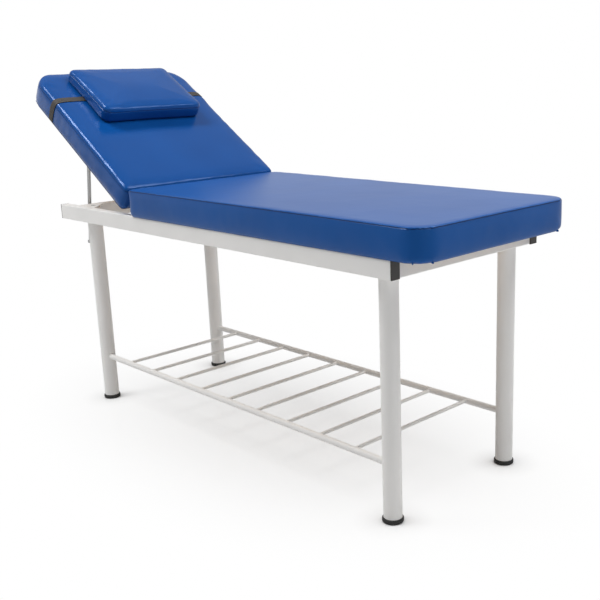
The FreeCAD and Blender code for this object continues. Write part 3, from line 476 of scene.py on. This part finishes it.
def pleats(bm, half, corner, end):
    """Gathered folds of vinyl under the two rounded corners at one end."""
    for side in (-1, 1):
        for turn in PLEAT_TURNS:
            way = Vector((end * sin(radians(turn)), side * cos(radians(turn)), 0))
            middle = Vector((end * (half.x - corner), side * (half.y - corner), 0))
            facing = way.to_track_quat("X", "Z").to_matrix().to_4x4()
            spot = Matrix.Translation(middle + (corner - mm(8)) * way)
            fold = spot @ facing @ Matrix.Diagonal((mm(5), mm(0.6 * PLEAT_SIZE), mm(PLEAT_SIZE), 1))
            bmesh.ops.create_icosphere(bm, subdivisions=2, radius=1, matrix=fold)


def finished(piece, bm, place, finish):
    """Put the made shape back in its object, in its place, with its finish."""
    bm.transform(place)
    bm.to_mesh(piece.data)
    bm.free()
    piece.data.materials.clear()
    piece.data.materials.append(finish)
    piece.data.shade_smooth()
    print(f"{piece.name}: {sum(len(face.vertices) - 2 for face in piece.data.polygons)} triangles")


# %% [markdown]
# ## The seat
#
# One long pad, square at the hinge end so that it meets the backrest and rounded at the foot end.

# %% Seat pad
low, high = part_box("seat_cushion")
seat_half = Vector(((high.x - low.x) / 2, (high.y - low.y) / 2, 0))
seat_place = Matrix.Translation(((low.x + high.x) / 2, 0, low.z))
PAD_TOP, SEAM = mm(87), mm(81.5)
SEAT_CORNERS = mm(14), mm(58)
SLACK = mm(1)   # the block is this much smaller all round, and the swelling takes it up
bm = block(2 * (seat_half.x - SLACK), 2 * (seat_half.y - SLACK), PAD_TOP, *SEAT_CORNERS, edge_round=mm(9))
seat = swell("seat_pad", bm, voxel=mm(8), held_levels=(0, SEAM), cap=mm(1.5), strokes=2)
ease_piece(seat, seat_half, SEAT_CORNERS, PAD_TOP, SEAM, power=4, crown=mm(1), pull=mm(1), pucker=mm(0.8))
bm = bmesh.new()
bm.from_mesh(seat.data)
print("seat seam:", sew(bm, SEAM), "points")
fold_under(bm, seat_half, HEM)
pleats(bm, seat_half, SEAT_CORNERS[1], 1)
finished(seat, bm, seat_place, seat_vinyl_painted_lighter)
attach(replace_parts(seat, "seat_cushion"), "frame")


# %% [markdown]
# ## The backrest and its strap
#
# The backrest pad is made lying flat and then raised. The elastic strap is a slice of that pad's own skin:
# two cuts across leave a band that follows every curve of the cushion, and a wall thickness makes it
# webbing.

# %% Backrest pad
BACK_START, BACK_LENGTH = mm(20.8), mm(688)
PAD_BASE = mm(-19.5)
back_half = Vector((BACK_LENGTH / 2, seat_half.y, 0))
back_place = RAISED @ Matrix.Translation((-BACK_START - BACK_LENGTH / 2, 0, PAD_BASE))
BACK_SEAM = mm(71)
BACK_CORNERS = mm(85), mm(14)
bm = block(2 * (back_half.x - SLACK), 2 * (back_half.y - SLACK), PAD_TOP, *BACK_CORNERS, edge_round=mm(13))
back = swell("backrest_pad", bm, voxel=mm(7), held_levels=(0, BACK_SEAM), cap=mm(1.5), strokes=8)
ease_piece(back, back_half, BACK_CORNERS, PAD_TOP, BACK_SEAM, power=2.2, crown=mm(1), pull=mm(1),
           pucker=mm(2))

# %% Strap from the pad's own skin
STRAP_PLACE, STRAP_WIDTH, STRAP_THICK = mm(526), mm(25), mm(1.0)
bm = bmesh.new()
bm.from_mesh(back.data)
middle = BACK_START + BACK_LENGTH / 2 - STRAP_PLACE
for edge, outwards in ((middle - STRAP_WIDTH / 2, -1), (middle + STRAP_WIDTH / 2, 1)):
    bmesh.ops.bisect_plane(bm, geom=everything(bm), plane_co=(edge, 0, 0), plane_no=(outwards, 0, 0),
                           clear_outer=True)
for _ in range(4):
    bmesh.ops.smooth_vert(bm, verts=bm.verts[:], factor=0.5, use_axis_y=True, use_axis_z=True)
bm.normal_update()
for vert in bm.verts:
    vert.co += STRAP_THICK * Vector((0, vert.normal.y, vert.normal.z)).normalized()
bmesh.ops.solidify(bm, geom=bm.faces[:], thickness=-STRAP_THICK)
bmesh.ops.recalc_face_normals(bm, faces=bm.faces[:])
strap = as_object("pillow_strap_band", bmesh.new())

# %% Elastic webbing
webbing, tree, shader = material("woven_elastic_grey")
place = add(tree, "ShaderNodeTexCoord").outputs["Object"]
flat = add(tree, "ShaderNodeMapping", {"Vector": place, "Rotation": (0, -TILT, 0)}).outputs["Vector"]
ribs = add(tree, "ShaderNodeTexWave", {"Vector": flat, "Scale": 2 * pi / mm(2.5) / 20, "Distortion": 0.3})
picks = add(tree, "ShaderNodeTexNoise", {"Vector": flat, "Scale": 1 / mm(2)})
tree.links.new(ramp(tree, ribs.outputs["Fac"], ((0.1, "#322E2B"), (0.9, "#48433F"))),
               shader.inputs["Base Color"])
bump = add(tree, "ShaderNodeBump", {"Height": ribs.outputs["Fac"], "Strength": 0.3, "Distance": mm(0.4)})
weave = add(tree, "ShaderNodeBump", {"Height": picks.outputs["Fac"], "Strength": 0.2, "Distance": mm(0.3),
                                     "Normal": bump.outputs["Normal"]})
tree.links.new(weave.outputs["Normal"], shader.inputs["Normal"])
shader.inputs["Roughness"].default_value = 0.75
finished(strap, bm, back_place, webbing)
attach(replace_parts(strap, "pillow_strap"), "pillow")

# %% Sew and fold the backrest pad
bm = bmesh.new()
bm.from_mesh(back.data)
print("backrest seam:", sew(bm, BACK_SEAM), "points")
fold_under(bm, back_half, HEM)
pleats(bm, back_half, BACK_CORNERS[0], -1)
finished(back, bm, back_place, raised_vinyl)
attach(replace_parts(back, "backrest_cushion"), "backrest")


# %% [markdown]
# ## The head pillow
#
# A small pad of softer foam with no board: both its panels bulge, so it is blown up further than the others
# and has a seam below its top roll and one near its bottom. It is a wedge, thicker under the neck than
# under the head.

# %% Pillow
PILLOW_START, PILLOW_LENGTH, PILLOW_WIDTH = mm(370), mm(289), mm(408)
PILLOW_BASE = PAD_BASE + mm(88 + 2)   # the crowned pad, and room for the strap
PILLOW_TOP, PILLOW_SEAM, PILLOW_LOW_SEAM = mm(54), mm(38), mm(6)
PILLOW_CORNERS = mm(26), mm(34)
pillow_half = Vector((PILLOW_LENGTH / 2, PILLOW_WIDTH / 2, 0))
pillow_place = RAISED @ Matrix.Translation((-PILLOW_START - PILLOW_LENGTH / 2, 0, PILLOW_BASE))
bm = block(PILLOW_LENGTH - 2 * SLACK, PILLOW_WIDTH - 2 * SLACK, PILLOW_TOP, *PILLOW_CORNERS,
           edge_round=mm(15))
pillow = swell("head_pillow_pad", bm, voxel=mm(5), held_levels=(PILLOW_LOW_SEAM, PILLOW_SEAM), cap=mm(2),
               strokes=8)
ease_piece(pillow, pillow_half, PILLOW_CORNERS, PILLOW_TOP, PILLOW_SEAM, power=2.2, crown=mm(6), pull=mm(3),
           pucker=mm(1.4))
bm = bmesh.new()
bm.from_mesh(pillow.data)
print("pillow seams:", sew(bm, PILLOW_SEAM), sew(bm, PILLOW_LOW_SEAM), "points")
MIDDLE_HEIGHT, WEDGE = 0.95, 0.15
for vert in bm.verts:
    vert.co.z *= MIDDLE_HEIGHT + WEDGE * vert.co.x / pillow_half.x
finished(pillow, bm, pillow_place, raised_vinyl)
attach(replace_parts(pillow, "pillow"), "pillow")


# %% [markdown]
# ## Weld beads
#
# The shelf is welded: rods to tubes, tubes to legs. A bead is a small circle spun round the rod, made lumpy
# by the arc's steps and bent to the round wall that it sits on, and one bead is copied to every joint.

# %% Beads of the shelf
def bead(radius, thick, wall):
    """A weld round a rod along Z that ends on a round wall above it; the wall curves along X."""
    bm = bmesh.new()
    upright = Matrix.Translation((radius, 0, 0)) @ Matrix.Rotation(pi / 2, 4, "X")
    ring = bmesh.ops.create_circle(bm, segments=8, radius=thick, matrix=upright)["verts"]
    bmesh.ops.spin(bm, geom=ring + bm.edges[:], cent=(0, 0, 0), axis=(0, 0, 1), angle=2 * pi, steps=48,
                   use_merge=True)
    for vert in bm.verts:
        spine = radius * Vector((vert.co.x, vert.co.y, 0)).normalized()
        lump = 1 + 0.2 * cos(12 * spine.to_2d().angle_signed(Vector((1, 0))))
        vert.co = spine + lump * (vert.co - spine)
        vert.co.z += wall - (wall ** 2 - min(abs(vert.co.x), wall) ** 2) ** 0.5
    mesh = bpy.data.meshes.new("bead")
    bm.to_mesh(mesh)
    bm.free()
    return mesh


def copy_to(bm, mesh, spot, curve, towards):
    """Add the mesh at a spot, its X along the wall's curve and its Z towards the wall."""
    first = len(bm.verts)
    bm.from_mesh(mesh)
    turned = Matrix((curve, towards.cross(curve), towards)).transposed().to_4x4()
    bm.verts.ensure_lookup_table()
    bmesh.ops.transform(bm, matrix=Matrix.Translation(spot) @ turned, verts=bm.verts[first:])


low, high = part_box("shelf_tube_right")
tube_radius, tube_y, tube_z = (high.z - low.z) / 2, (low.y + high.y) / 2, (low.z + high.z) / 2
rods = [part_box(name) for name in sorted(nodes) if name.startswith("shelf_rod")]
rod_radius = (rods[0][1].z - rods[0][0].z) / 2
LEG_RADIUS = mm(25.4)
rod_bead, tube_bead = bead(rod_radius, mm(1.6), tube_radius), bead(tube_radius, mm(2.0), LEG_RADIUS)
bm = bmesh.new()
for side in (-1, 1):
    for rod_low, rod_high in rods:
        spot = Vector(((rod_low.x + rod_high.x) / 2, side * (abs(tube_y) - tube_radius), tube_z))
        copy_to(bm, rod_bead, spot, Vector((0, 0, 1)), Vector((0, side, 0)))
    for name, end in (("leg_head_right", -1), ("leg_foot_right", 1)):
        leg_low, leg_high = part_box(name)
        spot = Vector(((leg_low.x + leg_high.x) / 2 - end * LEG_RADIUS, side * abs(tube_y), tube_z))
        copy_to(bm, tube_bead, spot, Vector((0, 1, 0)), Vector((end, 0, 0)))
bmesh.ops.recalc_face_normals(bm, faces=bm.faces[:])
beads = as_object("shelf_weld_beads", bmesh.new())
finished(beads, bm, Matrix(), powder_coat)
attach(beads, "frame")


# %% [markdown]
# ## Staples
#
# Underneath, the hem is shot to the plywood with wire staples, about every 60 mm along the two long sides.
# When the backrest lies flat its board comes down on the head cross rail, so there is no staple where the
# two meet.

# %% Staples along the hems
STAPLE_STEP, STAPLE_INSET = mm(60), mm(44)
STAPLE_SIZE = mm(10), mm(1.2), mm(0.7)
LOW_END, HIGH_END = mm(90), mm(80)


def staples(name, half, place, body, clear=(0, 0)):
    """Staples along both sides of a pad, with none inside the clear stretch of its length."""
    bm = bmesh.new()
    for side in (-1, 1):
        for along in np.arange(-half.x + LOW_END, half.x - HIGH_END, STAPLE_STEP):
            if clear[0] < along < clear[1]:
                continue
            spot = Matrix.Translation((along, side * (half.y - STAPLE_INSET), mm(-0.5)))
            bmesh.ops.create_cube(bm, size=1, matrix=spot @ Matrix.Diagonal((*STAPLE_SIZE, 1)))
    made = as_object(name, bmesh.new())
    finished(made, bm, place, zinc_plate)
    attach(made, body)


staples("seat_staples", seat_half, seat_place, "frame")
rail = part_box("head_cross_rail")
lying_middle = hinge.x - BACK_START - back_half.x
over_rail = rail[0][0] - lying_middle - mm(10), rail[1][0] - lying_middle + mm(10)
staples("backrest_staples", back_half, back_place, "backrest", over_rail)


# %% [markdown]
# ## Floor, light and camera
#
# The table stands on pale studio paper. A long softbox above the head end draws the thin highlight along
# the near edge of the backrest, and a small one on the far side does the same for the edges that face the
# foot. A square one overhead lights the tops, a weak one at the foot lifts the end faces, and the room adds
# an even fill. In a mirrored ray the room is a white sweep that ends a little above the horizon, so the
# level seat gets its pale sheen and the raised pads stay deep blue. The paper turns white away from the
# table, except close to the feet, where little of the room reaches it and the small contact shadows stay.
# The camera is where the lines of the rails, legs and shelf meet the picture.

# %% Studio floor
def seen_directly(tree, mirrored=1.0):
    """1 for rays from the camera or passed on to it, a share for mirrored ones, 0 for those giving light."""
    rays = add(tree, "ShaderNodeLightPath").outputs
    share = add(tree, "ShaderNodeMath", {0: rays["Is Glossy Ray"], 1: mirrored}, operation="MULTIPLY")
    seen = add(tree, "ShaderNodeMath", {0: rays["Is Camera Ray"], 1: share.outputs[0]}, operation="MAXIMUM")
    return add(tree, "ShaderNodeMath", {0: seen.outputs[0], 1: rays["Is Transmission Ray"]},
               operation="MAXIMUM").outputs[0]


bm = bmesh.new()
FLOOR_RADIUS = 14
bmesh.ops.create_circle(bm, cap_ends=True, segments=96, radius=FLOOR_RADIUS)
floor = as_object("studio_floor", bm)
paper, tree, shader = material("studio_paper_white")
shader.inputs["Base Color"].default_value = linear("#F4F4F4")
shader.inputs["Roughness"].default_value = 0.12
place = add(tree, "ShaderNodeTexCoord").outputs["Object"]
oval = add(tree, "ShaderNodeMapping", {"Vector": place, "Scale": (0.6, 1, 1)}).outputs["Vector"]
away = add(tree, "ShaderNodeVectorMath", {0: oval}, operation="LENGTH").outputs["Value"]
fade = add(tree, "ShaderNodeMapRange", {"Value": away, "From Min": 0.12, "From Max": 0.75, "To Min": 0.58,
                                        "To Max": 1.0}, interpolation_type="SMOOTHSTEP").outputs["Result"]
open_sky = add(tree, "ShaderNodeAmbientOcclusion", {"Distance": mm(90)}, samples=16).outputs["AO"]
clear = add(tree, "ShaderNodeMapRange", {"Value": open_sky, "From Min": 0.5,
                                         "From Max": 1.0}).outputs["Result"]
pale = add(tree, "ShaderNodeMath", {0: fade, 1: clear}, operation="MULTIPLY").outputs[0]
shown = add(tree, "ShaderNodeMath", {0: pale, 1: seen_directly(tree, 0.4)}, operation="MULTIPLY").outputs[0]
blank = add(tree, "ShaderNodeEmission", {"Color": linear("#FFFFFF"), "Strength": 1.0})
faded = add(tree, "ShaderNodeMixShader", {0: shown, 1: shader.outputs[0], 2: blank.outputs[0]})
tree.links.new(faded.outputs[0], tree.nodes["Material Output"].inputs["Surface"])
floor.data.materials.append(paper)
print(f"floor radius {FLOOR_RADIUS} m, white away from the table")

# %% Room that looks white
world = bpy.data.worlds.new("studio_room")
scene.world = world
world.use_nodes = True
tree = world.node_tree
tree.nodes.clear()
room = add(tree, "ShaderNodeBackground", {"Color": linear("#FFFFFF"), "Strength": 0.2})
mirrored = add(tree, "ShaderNodeLightPath").outputs["Is Glossy Ray"]
direction = add(tree, "ShaderNodeTexCoord").outputs["Generated"]
upward = add(tree, "ShaderNodeSeparateXYZ", {"Vector": direction}).outputs["Z"]
sweep = add(tree, "ShaderNodeMapRange", {"Value": upward, "From Min": 0.05, "From Max": 0.12, "To Min": 1.0,
                                         "To Max": 0.53})
strength = add(tree, "ShaderNodeMix", {0: mirrored, 2: 1.0, 3: sweep.outputs["Result"]}).outputs[0]
white = add(tree, "ShaderNodeBackground", {"Color": linear("#FFFFFF"), "Strength": strength})
both = add(tree, "ShaderNodeMixShader", {0: seen_directly(tree), 1: room.outputs[0], 2: white.outputs[0]})
add(tree, "ShaderNodeOutputWorld", {"Surface": both.outputs[0]})


# %% Softboxes
def softbox(name, spot, target, width, length, power):
    lamp = bpy.data.lights.new(name, "AREA")
    lamp.shape = "RECTANGLE"
    lamp.size, lamp.size_y = width, length
    lamp.energy = power
    made = bpy.data.objects.new(name, lamp)
    made.location = spot
    made.rotation_euler = (Vector(target) - Vector(spot)).to_track_quat("-Z", "Y").to_euler()
    scene.collection.objects.link(made)
    print(f"{name}: {width} x {length} m, {power} W")


softbox("head_softbox", (-1.45, -1.75, 4.2), (-1.45, 0.2, 0.7), 0.9, 2.2, 126)
softbox("overhead_softbox", (1.3, 0.5, 3.1), (0.4, 0, 0.7), 2.0, 2.0, 45)
softbox("far_softbox", (1.5, 1.6, 3.1), (0, 0, 0.8), 1.1, 1.1, 18)
softbox("foot_softbox", (3.2, -0.5, 1.3), (0.6, 0, 0.7), 1.4, 1.4, 7)

# %% Camera
CAMERA_SPOT = Vector((2.237, -1.811, 1.149))
YAW, PITCH, ROLL = radians(45.843), radians(14.31), radians(-1.755)
FOCAL_PIXELS, OPTICAL_CENTRE, PICTURE = 898.2, 348, 600
camera_data = bpy.data.cameras.new("photo_camera")
camera_data.sensor_width = 36
camera_data.lens = FOCAL_PIXELS / PICTURE * camera_data.sensor_width
camera_data.shift_x = (PICTURE / 2 - OPTICAL_CENTRE) / PICTURE
camera = bpy.data.objects.new("photo_camera", camera_data)
camera.matrix_world = (Matrix.Translation(CAMERA_SPOT) @ Matrix.Rotation(YAW, 4, "Z")
                       @ Matrix.Rotation(pi / 2 - PITCH, 4, "X") @ Matrix.Rotation(ROLL, 4, "Z"))
scene.collection.objects.link(camera)
scene.camera = camera
scene.view_settings.view_transform = "Standard"
print(f"camera: {camera_data.lens:.1f} mm lens, shift {camera_data.shift_x:.3f}")
